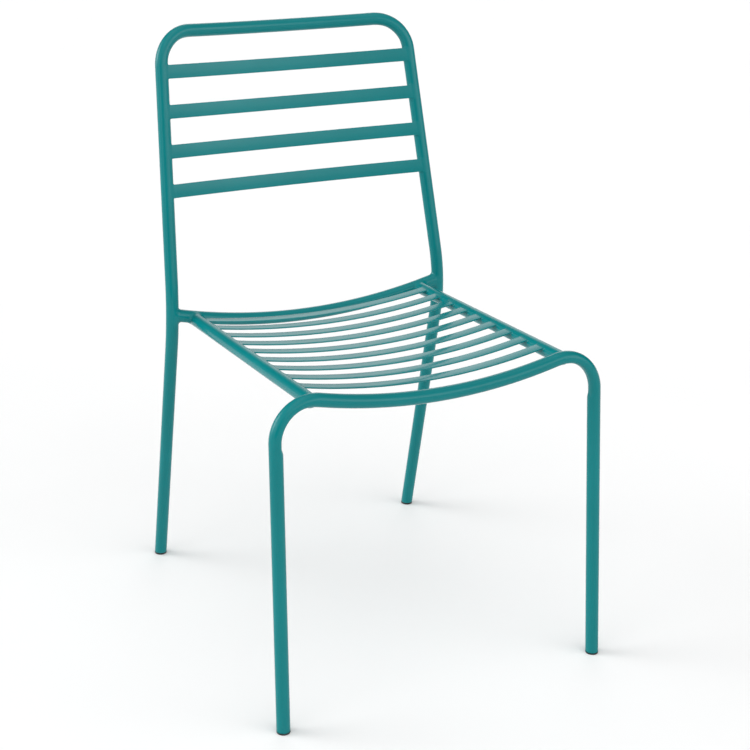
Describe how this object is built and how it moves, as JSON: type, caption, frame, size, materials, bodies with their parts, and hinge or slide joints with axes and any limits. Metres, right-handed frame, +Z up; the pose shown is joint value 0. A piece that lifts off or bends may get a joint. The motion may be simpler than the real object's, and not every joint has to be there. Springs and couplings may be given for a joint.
{
  "type": "stacking chair",
  "caption": "Armless stacking chair of bent steel tube, with thin steel strips across its dished seat and its curved, reclined back.",
  "frame": {"origin": "on the floor, under the middle of the chair's bounding box", "axes": "+Z up, the chair faces -Y, +X to the left of someone sitting in it; left and right in the names are as seen by someone standing in front of the chair, so left is -X; the chair is mirror symmetric in X"},
  "size_m": [0.513, 0.6116, 0.8429],
  "materials": {
    "powder_coat": "satin teal powder coat",
    "foot_plug": "moulded black plastic"
  },
  "bodies": {
    "root": {"front_frame_tube": "powder_coat", "back_frame_tube": "powder_coat", "rear_cross_rail": "powder_coat", "side_rail_left": "powder_coat", "side_rail_right": "powder_coat", "seat_slat_1": "powder_coat", "seat_slat_2": "powder_coat", "seat_slat_3": "powder_coat", "seat_slat_4": "powder_coat", "seat_slat_5": "powder_coat", "seat_slat_6": "powder_coat", "seat_slat_7": "powder_coat", "seat_slat_8": "powder_coat", "seat_slat_9": "powder_coat", "back_slat_1": "powder_coat", "back_slat_2": "powder_coat", "back_slat_3": "powder_coat", "back_slat_4": "powder_coat", "foot_plug_front_left": "foot_plug", "foot_plug_front_right": "foot_plug", "foot_plug_rear_left": "foot_plug", "foot_plug_rear_right": "foot_plug"}
  },
  "joints": []
}
